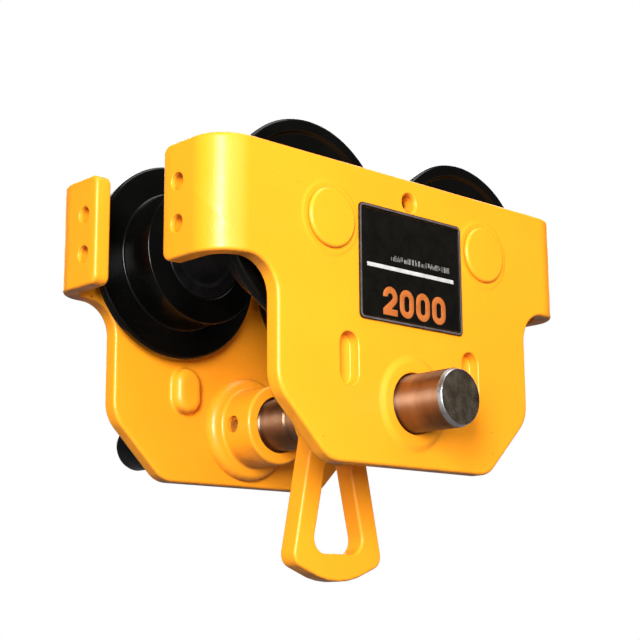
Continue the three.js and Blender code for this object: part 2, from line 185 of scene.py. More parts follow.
# ------------------------------------------------------------------------------- mesh building
class Builder:
    """Collects vertices in millimetres and faces, then makes one Blender mesh of them."""

    def __init__(self):
        self.points, self.faces, self.slots = [], [], []

    def add(self, points):
        start = len(self.points)
        self.points += [Vector(p) for p in points]
        return list(range(start, len(self.points)))

    def face(self, indices, slot=0):
        self.faces.append(list(indices))
        self.slots.append(slot)

    def bridge(self, ring_a, ring_b, slot=0):
        count = len(ring_a)
        for k in range(count):
            n = (k + 1) % count
            self.face((ring_a[k], ring_a[n], ring_b[n], ring_b[k]), slot)

    def mesh(self, name, cuts=(), reshape=None):
        data = bpy.data.meshes.new(name)
        bm = bmesh.new()
        corners = [bm.verts.new(p) for p in self.points]
        for indices, slot in zip(self.faces, self.slots):
            unique = list(dict.fromkeys(indices))
            if len(unique) > 2:
                made = bm.faces.new([corners[k] for k in unique])
                made.material_index = slot
        bmesh.ops.remove_doubles(bm, verts=bm.verts, dist=1e-4)
        for x in cuts:
            whole = bm.verts[:] + bm.edges[:] + bm.faces[:]
            bmesh.ops.bisect_plane(bm, geom=whole, dist=1e-5, plane_co=(x, 0, 0), plane_no=(1, 0, 0))
        if reshape:
            for vertex in bm.verts:
                vertex.co = reshape(vertex.co)
        bmesh.ops.recalc_face_normals(bm, faces=bm.faces)
        bmesh.ops.scale(bm, vec=(MM, MM, MM), verts=bm.verts)
        for made in bm.faces:
            made.smooth = True
        bm.to_mesh(data)
        bm.free()
        return data


def keep_flat(piece):
    """Shades flat faces flat, next to their rounded edges."""
    modifier = piece.modifiers.new("Flat faces stay flat", "WEIGHTED_NORMAL")
    modifier.mode = "FACE_AREA_WITH_ANGLE"
    modifier.weight = 80


def finish_piece(name, data, materials, body, node, slot, weighted=True):
    """Puts a mesh into the scene, riding on a body and standing for a CAD node, if one is named."""
    piece = bpy.data.objects.new(name, data)
    bpy.context.scene.collection.objects.link(piece)
    for material in materials if isinstance(materials, list) else [materials]:
        data.materials.append(material)
    if weighted:
        keep_flat(piece)
    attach(piece, body)
    if node:
        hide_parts(node)
    return piece


def turned_mesh(name, profile, x, z, side, count=96, closed=True, steps=4, slots=None):
    """A piece turned about a line along Y. Profile corners are (radius, v, rounding)."""
    points = round_corners(profile, closed, steps)
    build = Builder()
    rings = []
    for radius, v in points:
        if radius < 1e-6:
            ring = build.add([(x, side * v, z)]) * count
        else:
            ring = build.add([(p.x, side * v, p.y) for p in circle(x, z, radius, count)])
        rings.append(ring)
    pairs = list(zip(range(len(rings)), range(1, len(rings))))
    if closed:
        pairs.append((len(rings) - 1, 0))
    for a, b in pairs:
        slot = slots((points[a] + points[b]) / 2) if slots else 0
        build.bridge(rings[a], rings[b], slot)
    return build.mesh(name)


def edge_rings(loop, thickness, radius, steps):
    """(loop, depth) pairs from the outer face round both rounded edges to the inner face."""
    rings = []
    for k in range(steps + 1):
        a = math.pi / 2 * k / steps
        rings.append((inset(loop, radius * (1 - math.sin(a))), radius * (1 - math.cos(a))))
    return rings + [(ring, thickness - depth) for ring, depth in reversed(rings)]


def pressed_rings(x, z, straight, profile, start, steps=6):
    """Rings of a pressed pocket or bump. Profile corners are (half width, depth, rounding)."""
    return [(oblong(x, z, p.x, straight), start + p.y) for p in round_corners(profile, False, steps)]


def bore_rings(x, z, radius, thickness, edge, count, swelling=(), pitch=0):
    """Rings down a bore, with rounded rims, and any (radius, depth) rings on the outer face round it.
    A pitch adds thread ridges."""
    rings = edge_rings(facing(circle(x, z, radius, count), False), thickness, edge, 4)
    half = len(rings) // 2
    ridges = []
    if pitch:
        smooth_ends = 0.6
        turns = int((thickness - 2 * edge - smooth_ends) / pitch)
        start = (thickness - turns * pitch) / 2
        for k in range(2 * turns + 1):
            ridge = radius - (k % 2) * 0.55 * pitch
            ridges.append((facing(circle(x, z, ridge, count), False), start + k * pitch / 2))
    around = [(facing(circle(x, z, r, count), False), depth) for r, depth in swelling]
    return around + rings[:half] + ridges + rings[half:]


def slab_mesh(name, outline, through, thickness, radius, place, pockets=(), steps=4, **shaping):
    """A plate with rounded edges. place turns (x, z, depth) into a point; depth runs from the outer face.
    through and pockets hold stacks of rings: right through the plate, or into one of its faces."""
    build = Builder()
    faces = {"outer": [], "inner": []}

    def loft(rings):
        indices = [build.add([place(p.x, p.y, depth) for p in ring]) for ring, depth in rings]
        for a, b in zip(indices, indices[1:]):
            build.bridge(a, b)
        return indices

    def cap(loops):
        joined = [k for _, indices in loops for k in indices]
        for triangle in fill([ring for ring, _ in loops]):
            build.face([joined[k] for k in triangle])

    rim = edge_rings(facing(outline, True), thickness, radius, steps)
    for rings in [rim] + list(through):
        indices = loft(rings)
        faces["outer"].append((rings[0][0], indices[0]))
        faces["inner"].append((rings[-1][0], indices[-1]))
    for rings, face in pockets:
        indices = loft(rings)
        faces[face].append((rings[0][0], indices[0]))
        cap([(rings[-1][0], indices[-1])])
    cap(faces["outer"])
    cap(faces["inner"])
    return build.mesh(name, **shaping)


# ------------------------------------------------------------------------------------ materials
def new_material(name):
    material = bpy.data.materials.new(name)
    material.use_nodes = True
    tree = material.node_tree
    return material, tree, tree.nodes["Principled BSDF"]


def add_node(tree, kind, **settings):
    node = tree.nodes.new(kind)
    for key, value in settings.items():
        if key in node.inputs:
            node.inputs[key].default_value = value
        else:
            setattr(node, key, value)
    return node


def noise(tree, scale, detail=2, stretch=None):
    """A noise in the object's own metres, stretched along the axes if asked."""
    place = add_node(tree, "ShaderNodeTexCoord")
    source = place.outputs["Object"]
    if stretch:
        mapping = add_node(tree, "ShaderNodeMapping")
        mapping.inputs["Scale"].default_value = stretch
        tree.links.new(source, mapping.inputs["Vector"])
        source = mapping.outputs["Vector"]
    texture = add_node(tree, "ShaderNodeTexNoise", Scale=scale, Detail=detail)
    tree.links.new(source, texture.inputs["Vector"])
    return texture.outputs["Fac"]


def ramp(tree, source, stops):
    node = add_node(tree, "ShaderNodeValToRGB")
    elements = node.color_ramp.elements
    while len(elements) < len(stops):
        elements.new(0.5)
    for element, (position, colour) in zip(elements, stops):
        element.position = position
        element.color = (*colour, 1)
    tree.links.new(source, node.inputs["Fac"])
    return node.outputs["Color"]


def spread(tree, source, low, high, start=0.3, end=0.7):
    """Maps a value from one range onto another, by default from the middle of a noise's range."""
    node = add_node(tree, "ShaderNodeMapRange")
    for key, value in (("From Min", start), ("From Max", end), ("To Min", low), ("To Max", high)):
        node.inputs[key].default_value = value
    tree.links.new(source, node.inputs["Value"])
    return node.outputs["Result"]


def multiply(tree, first, second):
    node = add_node(tree, "ShaderNodeMath", operation="MULTIPLY")
    tree.links.new(first, node.inputs[0])
    tree.links.new(second, node.inputs[1])
    return node.outputs["Value"]


def blend_colours(tree, factor, first, second):
    """A mix of two colours, each an RGB tuple or a socket."""
    node = add_node(tree, "ShaderNodeMix", data_type="RGBA")
    for socket, value in ((6, first), (7, second)):
        if isinstance(value, tuple):
            node.inputs[socket].default_value = (*value, 1)
        else:
            tree.links.new(value, node.inputs[socket])
    tree.links.new(factor, node.inputs[0])
    return node.outputs[2]


def bump(tree, shader, *layers):
    """Stacks (height, strength, distance in mm) layers onto the shader's normal."""
    normal = None
    for height, strength, distance in layers:
        node = add_node(tree, "ShaderNodeBump", Strength=strength, Distance=distance * MM)
        tree.links.new(height, node.inputs["Height"])
        if normal:
            tree.links.new(normal, node.inputs["Normal"])
        normal = node.outputs["Normal"]
    tree.links.new(normal, shader.inputs["Normal"])


NONE, FULL = (0, 0, 0), (1, 1, 1)  # ends of a mask


def yellow_paint():
    """Orange-yellow enamel with an orange-peel surface, a few specks and browner undersides, part grime and
    part painted shade.
    """
    material, tree, shader = new_material("yellow_enamel")
    body = ramp(tree, noise(tree, 9, 3), [(0.3, (0.86, 0.29, 0.0095)), (0.7, (0.92, 0.325, 0.011))])
    specks = ramp(tree, noise(tree, 260, 1), [(0.79, NONE), (0.81, FULL)])
    few_places = ramp(tree, noise(tree, 21, 0), [(0.60, NONE), (0.62, FULL)])
    body = blend_colours(tree, multiply(tree, specks, few_places), body, (0.16, 0.06, 0.02))
    # Down-facing surfaces are painted browner: part grime, part painted shade under the plates
    shape = add_node(tree, "ShaderNodeNewGeometry")
    split = add_node(tree, "ShaderNodeSeparateXYZ")
    tree.links.new(shape.outputs["Normal"], split.inputs["Vector"])
    downward_grime_and_shade = spread(tree, split.outputs["Z"], 1, 0, -0.95, -0.5)
    patches = spread(tree, noise(tree, 70, 4), 0.2, 0.8, 0.35, 0.65)
    body = blend_colours(tree, multiply(tree, downward_grime_and_shade, patches), body, (0.30, 0.10, 0.02))
    tree.links.new(body, shader.inputs["Base Color"])
    tree.links.new(spread(tree, noise(tree, 60, 4), 0.36, 0.46), shader.inputs["Roughness"])
    shader.inputs["Specular IOR Level"].default_value = 0.4
    shader.inputs["Coat Weight"].default_value = 0.12
    shader.inputs["Coat Roughness"].default_value = 0.2
    shader.inputs["IOR"].default_value = 1.5
    bump(tree, shader, (noise(tree, 55, 2), 0.2, 0.5), (noise(tree, 560, 2), 0.7, 0.2))
    return material


def black_gloss():
    material, tree, shader = new_material("black_enamel")
    blacks = [(0.3, (0.0008, 0.0008, 0.0007)), (0.7, (0.002, 0.002, 0.0017))]
    tree.links.new(ramp(tree, noise(tree, 30, 4), blacks), shader.inputs["Base Color"])
    tree.links.new(spread(tree, noise(tree, 45, 4), 0.20, 0.32), shader.inputs["Roughness"])
    shader.inputs["Specular IOR Level"].default_value = 0.2
    shader.inputs["Coat Weight"].default_value = 0.12
    shader.inputs["Coat Roughness"].default_value = 0.1
    bump(tree, shader, (noise(tree, 70, 3), 0.2, 0.4), (noise(tree, 500, 2), 0.15, 0.1))
    return material


def turned_tangent(tree, shader, amount):
    """Turning marks run round the bar, so its highlights draw out along it."""
    shader.inputs["Anisotropic"].default_value = amount
    shader.inputs["Anisotropic Rotation"].default_value = 0.25
    tangent = add_node(tree, "ShaderNodeTangent", direction_type="RADIAL", axis="Y")
    tree.links.new(tangent.outputs["Tangent"], shader.inputs["Tangent"])


def dark_bar():
    """A dark turned bar: fine turning marks round it, browner and greyer patches along it."""
    material, tree, shader = new_material("dark_turned_bar")
    browns = [(0.3, (0.19, 0.105, 0.055)), (0.7, (0.33, 0.215, 0.14))]
    tree.links.new(ramp(tree, noise(tree, 25, 5, (1, 2.2, 1)), browns), shader.inputs["Base Color"])
    shader.inputs["Metallic"].default_value = 1
    rough = spread(tree, noise(tree, 60, 5, (1, 4, 1)), 0.38, 0.48)
    tree.links.new(rough, shader.inputs["Roughness"])
    turned_tangent(tree, shader, 0.88)
    turning = noise(tree, 700, 2, (0.04, 1, 0.04))
    bump(tree, shader, (turning, 0.6, 0.25), (noise(tree, 260, 4), 0.3, 0.15))
    return material


def sawn_end():
    """The bar's end face: dark, with a mottled bloom and fine scratches."""
    material, tree, shader = new_material("bar_end_face")
    bloom = [(0.35, (0.060, 0.045, 0.030)), (0.52, (0.105, 0.080, 0.055)), (0.72, (0.18, 0.145, 0.105))]
    colour = ramp(tree, noise(tree, 120, 6), bloom)
    # Scratches one way, scratches the other way, and small flecks
    for scale, stretch, start in ((1500, (1, 1, 0.16), 0.64), (1300, (0.2, 1, 1), 0.65), (900, None, 0.63)):
        marks = ramp(tree, noise(tree, scale, 3, stretch), [(start, NONE), (start + 0.12, FULL)])
        colour = blend_colours(tree, marks, colour, (0.26, 0.235, 0.20))
    tree.links.new(colour, shader.inputs["Base Color"])
    shader.inputs["Metallic"].default_value = 0.8
    tree.links.new(spread(tree, noise(tree, 220, 5, (1, 1, 0.25)), 0.38, 0.6), shader.inputs["Roughness"])
    scratches = noise(tree, 800, 3, (0.15, 1, 1))
    bump(tree, shader, (scratches, 0.35, 0.1), (noise(tree, 300, 4), 0.3, 0.12))
    return material


def metal(name, dark, light, rough, turning=None, metallic=1.0):
    """Metal between two colours and two roughnesses, with turning marks stretched as asked."""
    material, tree, shader = new_material(name)
    colour = ramp(tree, noise(tree, 80, 4), [(0.3, dark), (0.7, light)])
    tree.links.new(colour, shader.inputs["Base Color"])
    shader.inputs["Metallic"].default_value = metallic
    tree.links.new(spread(tree, noise(tree, 136, 4), *rough), shader.inputs["Roughness"])
    layers = [(noise(tree, 420, 3), 0.12, 0.06)]
    if turning:
        layers.append((noise(tree, 1200, 1, turning), 0.25, 0.05))
    bump(tree, shader, *layers)
    return material


def satin(name, dark, light, rough, metallic=0.0, gloss=0.5):
    """Paint or print between two colours and two roughnesses."""
    material, tree, shader = new_material(name)
    shader.inputs["Specular IOR Level"].default_value = gloss
    colour = ramp(tree, noise(tree, 130, 4), [(0.35, dark), (0.65, light)])
    tree.links.new(colour, shader.inputs["Base Color"])
    shader.inputs["Metallic"].default_value = metallic
    tree.links.new(spread(tree, noise(tree, 320, 3), *rough), shader.inputs["Roughness"])
    bump(tree, shader, (noise(tree, 900, 2), 0.08, 0.05))
    return material


PAINT = yellow_paint()
BLACK = black_gloss()
BAR = dark_bar()
BAR_END = sawn_end()
BRIGHT_EDGE = metal("bright_chamfer", (0.60, 0.59, 0.58), (0.80, 0.79, 0.78), (0.26, 0.38))
OILED = metal("oiled_bush", (0.13, 0.105, 0.09), (0.22, 0.185, 0.16), (0.34, 0.46))
GROUND = metal(
    "ground_steel", (0.50, 0.50, 0.50), (0.66, 0.66, 0.66), (0.16, 0.28), turning=(0.03, 1, 0.03),
)
BALL = metal("polished_ball", (0.66, 0.66, 0.67), (0.78, 0.78, 0.79), (0.05, 0.10))
BLACKENED_AND_PAINTED_SHADE = metal(
    "blackened_spring_steel_and_painted_shade", (0.018, 0.018, 0.02), (0.045, 0.045, 0.05), (0.30, 0.45), metallic=0.9,
)
# The set screw's paint is darker than the plates': partly dirt, partly painted shade of its sunken hole
SCREW = satin("screw_paint_dirt_and_painted_shade", (0.22, 0.068, 0.006), (0.40, 0.13, 0.010), (0.4, 0.55))
LABEL_BLACK = satin(
    "label_black", (0.0026, 0.0024, 0.0018), (0.0046, 0.0042, 0.003), (0.26, 0.36), gloss=0.25,
)
LABEL_FRAME = satin(
    "label_bare_edge", (0.095, 0.072, 0.073), (0.155, 0.122, 0.122), (0.3, 0.42), metallic=0.3,
)
LABEL_ORANGE = satin("label_orange", (0.36, 0.093, 0.018), (0.42, 0.118, 0.026), (0.3, 0.4))
LABEL_PRINT = satin("label_small_print", (0.10, 0.098, 0.092), (0.22, 0.215, 0.20), (0.3, 0.4))
LABEL_WHITE = satin("label_white", (0.40, 0.39, 0.37), (0.50, 0.49, 0.47), (0.3, 0.4))


# ----------------------------------------------------------------------------- side plates, bosses
def side_plates():
    flat_half = PLATE_HALF - BEND_R
    arc = BEND_R * math.pi / 2
    straight = PLATE_OUT_V - BEND_R - ARM_END_V  # flat length of an arm
    tip = flat_half + arc + straight
    fillet = flat_half - APRON_HALF
    half = [
        (tip, PLATE_TOP, ARM_CORNER_R),
        (tip, ARM_BOTTOM, ARM_CORNER_R),
        (APRON_HALF, ARM_BOTTOM, fillet),
        (APRON_HALF, SHOULDER_Z, SHOULDER_R),
        (APRON_FOOT_HALF, PLATE_BOTTOM, FOOT_R),
    ]
    outline = round_corners(half + [(-x, z, r) for x, z, r in reversed(half)], steps=10)
    # The metal round each axle is pressed up a little by its head.
    swelling = [
        (25.4, 0), (24.7, -0.06), (23.9, -0.26), (23.1, -0.42), (22.2, -0.44), (21.2, -0.32), (20, -0.14),
        (18.6, 0),
    ]
    through = [
        bore_rings(0, BAR_Z, BOSS_R + FIT, PLATE_T, 0.4, 72),
        bore_rings(0, TOP_HOLE_Z, TOP_HOLE_R, PLATE_T, 1.3, 40, pitch=THREAD_PITCH),
    ]
    for s in (-1, 1):
        through.append(bore_rings(s * AXLE_X, AXLE_Z, AXLE_R + FIT, PLATE_T, 0.6, 72, swelling))
    arm_hole = tip + ARM_END_V - ARM_HOLE_V  # where the arms' holes are when the plate is unrolled
    for s in (-1, 1):
        for z in ARM_HOLES_Z:
            hole = bore_rings(s * arm_hole, z, ARM_HOLE_R, PLATE_T, 0.9, 40, pitch=THREAD_PITCH)
            through.append(hole)
    recess = [(9.6, 0, 0), (8.1, 0, 1.0), (7.7, 7.8, 1.0), (5.6, 7.8, 0)]
    raised = [(13.8, 0, 0), (11.4, 0, 2.2), (10.2, 8.4, 5.6), (4.2, 8.4, 0)]
    pockets = []
    for s in (-1, 1):
        pockets.append((pressed_rings(s * SLOT_X, SLOT_Z, SLOT_STRAIGHT, recess, 0), "outer"))
        pockets.append((pressed_rings(s * SLOT_X, BUMP_Z, BUMP_STRAIGHT, raised, PLATE_T), "inner"))
    bend_steps = 14
    cuts = [s * (flat_half + arc * k / bend_steps) for s in (-1, 1) for k in range(bend_steps + 1)]

    def bent(side):
        """Rolls the flat plate round both bends, on the given side of the beam."""
        def place(point):
            along, depth, z = point
            end = 1 if along > 0 else -1
            past = abs(along) - flat_half
            if past <= 0:
                x, v = abs(along), PLATE_OUT_V - depth
            elif past < arc:
                a = past / BEND_R
                radius = BEND_R - depth
                x, v = flat_half + radius * math.sin(a), PLATE_OUT_V - BEND_R + radius * math.cos(a)
            else:
                x, v = PLATE_HALF - depth, PLATE_OUT_V - BEND_R - (past - arc)
            return Vector((end * x, side * v, z))
        return place

    for name, side in SIDES.items():
        data = slab_mesh(
            f"{name}_plate_mesh", outline, through, PLATE_T, PLATE_EDGE, lambda x, z, depth: (x, depth, z),
            pockets=pockets, cuts=cuts, reshape=bent(side),
        )
        finish_piece(
            f"{name}_bent_plate", data, PAINT, f"{name}_plate", f"{name}_side_plate", "yellow_paint",
        )


def bore_screw_hole(piece, side):
    """Cuts the set screw's hole through a boss and gives its rim a painted-over rounding."""
    drill = bpy.data.meshes.new("drill")
    bm = bmesh.new()
    hole_r, length, reach = 6 * MM, 16 * MM, 24
    bmesh.ops.create_cone(bm, cap_ends=True, segments=40, radius1=hole_r, radius2=hole_r, depth=length)
    turn = Matrix.Rotation(math.pi / 2, 4, "Y")
    move = Matrix.Translation(Vector((-side * reach, side * SCREW_V, BAR_Z)) * MM)
    bmesh.ops.transform(bm, matrix=move @ turn, verts=bm.verts)
    bm.to_mesh(drill)
    bm.free()
    tool = bpy.data.objects.new("drill", drill)
    bpy.context.scene.collection.objects.link(tool)
    cut = piece.modifiers.new("Screw hole", "BOOLEAN")
    cut.object, cut.operation, cut.solver = tool, "DIFFERENCE", "EXACT"
    bpy.context.view_layer.update()
    bored = bpy.data.meshes.new_from_object(piece.evaluated_get(bpy.context.evaluated_depsgraph_get()))
    piece.modifiers.clear()
    piece.data = bored
    bpy.data.objects.remove(tool)
    rim = piece.modifiers.new("Soft rim", "BEVEL")
    rim.width, rim.segments, rim.limit_method, rim.angle_limit = 0.9 * MM, 3, "ANGLE", math.radians(50)
    keep_flat(piece)


def bosses():
    low, high = box_mm("front_boss")
    end_v, face_v = -high.y, -low.y
    collar_r = high.x - 0.9
    collar_top = PLATE_IN_V - FIT - BOSS_COLLAR_T
    lip_out, lip_in, film = 32.2, 26.4, 0.03
    for name, side in SIDES.items():
        profile = [
            (BOSS_BORE_R, end_v, 0.8),
            (BOSS_R, end_v, 2.4),
            (BOSS_R, collar_top, 2.8),
            (collar_r, collar_top, 6.8),
            (collar_r, PLATE_IN_V - FIT, 0),
            (BOSS_R, PLATE_IN_V - FIT, 0),
            (BOSS_R, PLATE_OUT_V + film, 0),
        ]
        # A filled and painted-over joint: the boss's lip runs out smoothly onto the plate.
        for k in range(11):
            t = k / 10
            rise = film + (face_v - PLATE_OUT_V - film) * t * t * (3 - 2 * t)
            profile.append((lip_out + (lip_in - lip_out) * t, PLATE_OUT_V + rise, 0))
        profile.append((BOSS_BORE_R, face_v, 1.2))
        data = turned_mesh(f"{name}_boss_mesh", profile, 0, BAR_Z, side, 96, steps=6)
        body, node = f"{name}_plate", f"{name}_boss"
        piece = finish_piece(f"{name}_boss_tube", data, PAINT, body, node, "yellow_paint", weighted=False)
        bore_screw_hole(piece, side)


def set_screws():
    for name, side in SIDES.items():
        reach = -side
        low, high = box_mm(f"{name}_set_screw")
        top, tip = (high.x, low.x) if reach > 0 else (low.x, high.x)
        build = Builder()
        count = 36
        hexagon = circle(0, 0, SOCKET_R, 6)
        sides = zip(hexagon, hexagon[1:] + hexagon[:1])
        socket_edge = [a.lerp(b, n / 6) for a, b in sides for n in range(6)]

        def at(points, x):
            return build.add([(x, side * SCREW_V + p.x, BAR_Z + p.y) for p in points])

        def ring(radius, x):
            return at(circle(0, 0, radius, count), x)

        def centre(x):
            return build.add([(x, side * SCREW_V, BAR_Z)]) * count

        rings = [
            centre(tip),
            ring(3.4, tip),
            ring(SCREW_R - 1.6, tip + reach * 0.3),
            ring(SCREW_R, tip + reach * 1.6),
            ring(SCREW_R, top - reach * 0.9),
            ring(SCREW_R - 0.3, top - reach * 0.3),
            ring(SCREW_R - 0.9, top),
            at([p * 1.12 for p in socket_edge], top),
            at(socket_edge, top - reach * 0.35),
            at(socket_edge, top - reach * SOCKET_DEPTH),
            centre(top - reach * (SOCKET_DEPTH + 0.6)),
        ]
        for a, b in zip(rings, rings[1:]):
            build.bridge(a, b)
        finish_piece(
            f"{name}_grub_screw", build.mesh(f"{name}_screw_mesh"), SCREW, f"{name}_plate",
            f"{name}_set_screw", "yellow_paint",
        )


# ------------------------------------------------------------------------------ load bar and link
def load_bar():
    low, high = box_mm("load_bar")
    profile = [(0, low.y, 0), (BAR_R - BAR_LEAD_DROP, low.y, 0.9), (BAR_R, low.y + BAR_LEAD, 1.6)]
    for step in (-1.5, -0.5, 0.5, 1.5):
        near, far = step * GROOVE_PITCH - GROOVE_HALF, step * GROOVE_PITCH + GROOVE_HALF
        profile += [
            (BAR_R, near, 0.25), (BAR_R - GROOVE_DEPTH, near + GROOVE_DEPTH, 0.5),
            (BAR_R - GROOVE_DEPTH, far - GROOVE_DEPTH, 0.5), (BAR_R, far, 0.25),
        ]
    profile += [(BAR_R, high.y - BAR_LEAD, 1.6), (BAR_R - BAR_LEAD_DROP, high.y, 0.9), (0, high.y, 0)]

    def slots(point):
        """The dark bar, its bright front chamfer, its front face, and past the rear plate black steel as
        painted shade and dark reflection.
        """
        radius, y = point
        # Past the rear plate the same bare bar takes the black steel: painted shade and dark reflection, not
        # a finish
        if y > PLATE_OUT_V + 4:
            return 3
        if y > low.y + BAR_LEAD:
            return 0
        return 1 if radius > BAR_R - BAR_LEAD_DROP - 0.3 else 2

    data = turned_mesh("bar_mesh", profile, 0, BAR_Z, 1, 128, closed=False, steps=4, slots=slots)
    materials = [BAR, BRIGHT_EDGE, BAR_END, BLACKENED_AND_PAINTED_SHADE]
    finish_piece("turned_load_bar", data, materials, "load_bar", "load_bar", "bar_steel")


def link():
    low, high = box_mm("suspension_link")
    ring_r, foot_z = high.z - BAR_Z, low.z

    def foot(x):
        """Height of the curved underside."""
        return foot_z + LINK_FOOT_R - math.sqrt(LINK_FOOT_R ** 2 - x ** 2)

    shoulder = Vector((24.2, -16))
    knee = Vector((41.3, foot(30) + 4 - BAR_Z))
    # Where the straight leg leaves the ring
    leg = (shoulder - knee).normalized()
    along = -knee.dot(leg)
    leave = knee + leg * (along - math.sqrt(ring_r ** 2 - (knee + leg * along).length ** 2))
    half = [(leave.x, leave.y + BAR_Z, 4), (knee.x, knee.y + BAR_Z, 9)]
    for x in (26, 17.3, 8.7):
        half.append((x, foot(x), 24))
    start = math.atan2(leave.y, leave.x)
    crown = []
    count = 40
    for k in range(1, count):
        a = start + (math.pi - 2 * start) * k / count
        crown.append((ring_r * math.cos(a), BAR_Z + ring_r * math.sin(a), 0))
    left_side = [(-x, z, r) for x, z, r in half]
    outline = round_corners(left_side + [(0, foot_z, 24)] + half[::-1] + crown, steps=6)
    top, seat = LINK_EYE_TOP_Z, LINK_SEAT_Z
    opening = round_corners([(-10.3, top, 6), (-24.2, seat, 10), (24.2, seat, 10), (10.3, top, 6)], steps=8)
    thickness, edge = high.y - low.y, 2.1
    through = [
        bore_rings(0, BAR_Z, LINK_BORE_R, thickness, 0.6, 72),
        edge_rings(facing(opening, False), thickness, edge, 5),
    ]

    def place(x, z, depth):
        return (x, low.y + depth, z)

    data = slab_mesh("link_mesh", outline, through, thickness, edge, place, steps=5)
    finish_piece("swinging_link", data, PAINT, "link", "suspension_link", "yellow_paint")

    bush_low, bush_high = box_mm("link_bush")
    near, far = -bush_high.y, -bush_low.y
    inner, outer = BAR_R + 0.5, bush_high.x
    profile = [(inner, near, 0.5), (outer, near, 0.5), (outer, far, 0.5), (inner, far, 0.5)]
    data = turned_mesh("bush_mesh", profile, 0, BAR_Z, -1, 72)
    finish_piece("link_bush_sleeve", data, OILED, "link_carrier", "link_bush", "bright_steel")


# -------------------------------------------------------------------------------------- nameplate
def printed(name, outline, inside_loop, proud, material, place_v, slot, node=None):
    """A thin printed or raised shape on the nameplate, its outer face at place_v."""
    def place(x, z, depth):
        return (x, -(place_v - depth), z)

    edge = min(0.12, proud / 3)
    through = [edge_rings(facing(inside_loop, False), proud, edge, 2)] if inside_loop else []
    data = slab_mesh(name + "_mesh", outline, through, proud, edge, place, steps=2)
    finish_piece(name, data, material, "front_plate", node, slot, weighted=False)


def rectangle(x0, z0, x1, z1, radius):
    return round_corners([(x0, z0, radius), (x1, z0, radius), (x1, z1, radius), (x0, z1, radius)], steps=6)


def nought(left, foot, width, height, gap):
    """An upright oblong, drawn in by the gap."""
    right, top = left + width - gap, foot + height - gap
    return rectangle(left + gap, foot + gap, right, top, (width - 2 * gap) / 2 - 0.01)


def figure_two(left, foot, width, height, weight):
    """A two as one outline: a bowl, a slanting neck and a flat base."""
    radius = width / 2
    centre = Vector((left + radius, foot + height - radius))

    def arc(r, start, end, count):
        angles = [math.radians(start + (end - start) * k / count) for k in range(count + 1)]
        return [centre + Vector((r * math.cos(a), r * math.sin(a))) for a in angles]

    base = foot + weight
    feet = [
        (left + weight * 1.75, base), (left + width, base), (left + width, foot), (left, foot),
        (left, base * 0.92 + foot * 0.08),
    ]
    return arc(radius, 185, -38, 24) + [Vector(point) for point in feet] + arc(radius - weight, -38, 185, 16)


def nameplate():
    low, high = box_mm("nameplate_frame")
    panel_low, panel_high = box_mm("nameplate_panel")

    def drawn_in(gap, radius):
        return rectangle(low.x + gap, low.z + gap, high.x - gap, high.z - gap, radius)

    frame_v, panel_v = -low.y, -panel_low.y
    frame_t, panel_t, ink = high.y - low.y, panel_high.y - panel_low.y, 0.12
    rim, hole, face = drawn_in(0, 3.4), drawn_in(2.6, 1.9), drawn_in(2.9, 1.7)
    printed("nameplate_rim", rim, hole, frame_t, LABEL_BLACK, frame_v, "label_frame", "nameplate_frame")
    printed("nameplate_face", face, None, panel_t, LABEL_BLACK, panel_v, "label_black", "nameplate_panel")
    # The bare metal line round the rim
    line, hole = drawn_in(0.5, 3), drawn_in(1.75, 2.2)
    printed("nameplate_edge_line", line, hole, 0.1, LABEL_FRAME, frame_v + 0.08, "label_frame")
    face_v = panel_v + ink
    # A white bar across, and a row of short strokes where small print would be
    bar_z = 22.5
    bar = rectangle(-41.5, bar_z, 40.5, bar_z + 2.7, 0.3)
    printed("nameplate_white_bar", bar, None, ink, LABEL_WHITE, face_v, "label_frame")
    x, last_x, stroke = -19.5, 37, 0
    random.seed(4)
    while x < last_x:
        width = random.choice((0.5, 0.7, 1.6))
        foot = bar_z + 6.6 + random.choice((0, 0, 0.9))
        outline = rectangle(x, foot, x + width, bar_z + random.choice((9.2, 10.4, 10.4)), 0.2)
        printed(f"nameplate_stroke_{stroke}", outline, None, ink, LABEL_PRINT, face_v, "label_frame")
        x += width + random.choice((0.5, 0.6, 0.6, 1.4))
        stroke += 1
    # The rated load in kilograms, in plain figures: a two and three noughts
    height, width, weight, gap = 19, 13.2, 4.3, 2.2
    first_x, foot_z = -27.5, -7.5
    for k in range(4):
        left = first_x + k * (width + gap)
        if k:
            outline, hole = [nought(left, foot_z, width, height, gap_in) for gap_in in (0, weight)]
        else:
            outline, hole = figure_two(left, foot_z, width, height, weight), None
        printed(f"nameplate_figure_{k}", outline, hole, ink, LABEL_ORANGE, face_v, "label_frame")


# ------------------------------------------------------------------------------ wheels and axles
def wheel_profile():
    rim_v = WHEEL_FACE_V - RIM_T
    dish_v, hub_v = WHEEL_FACE_V - 2.6, WHEEL_FACE_V - 0.6
    return [
        (BEARING_R, WHEEL_BACK_V, 0.6),
        (TREAD_R, WHEEL_BACK_V, 1.0),
        (TREAD_R, rim_v, 1.6),
        (RIM_R, rim_v, 2.4),
        (RIM_R, WHEEL_FACE_V, 2.4),
        (RIM_R - 7.5, WHEEL_FACE_V, 1.6),
        (RIM_R - 10, dish_v, 2.0),
        (40, dish_v, 3.0),
        (36, hub_v, 1.6),
        (HUB_SHOULDER_R, hub_v, 1.0),
        (HUB_SHOULDER_R, BEARING_OUT_V, 0.2),
        (BEARING_R, BEARING_OUT_V, 0.2),
        (BEARING_R, BEARING_IN_V, 0.1),
        (HUB_GROOVE_R, BEARING_IN_V, 0.1),
        (HUB_GROOVE_R, CLIP_V, 0.1),
        (BEARING_R, CLIP_V, 0.1),
    ]


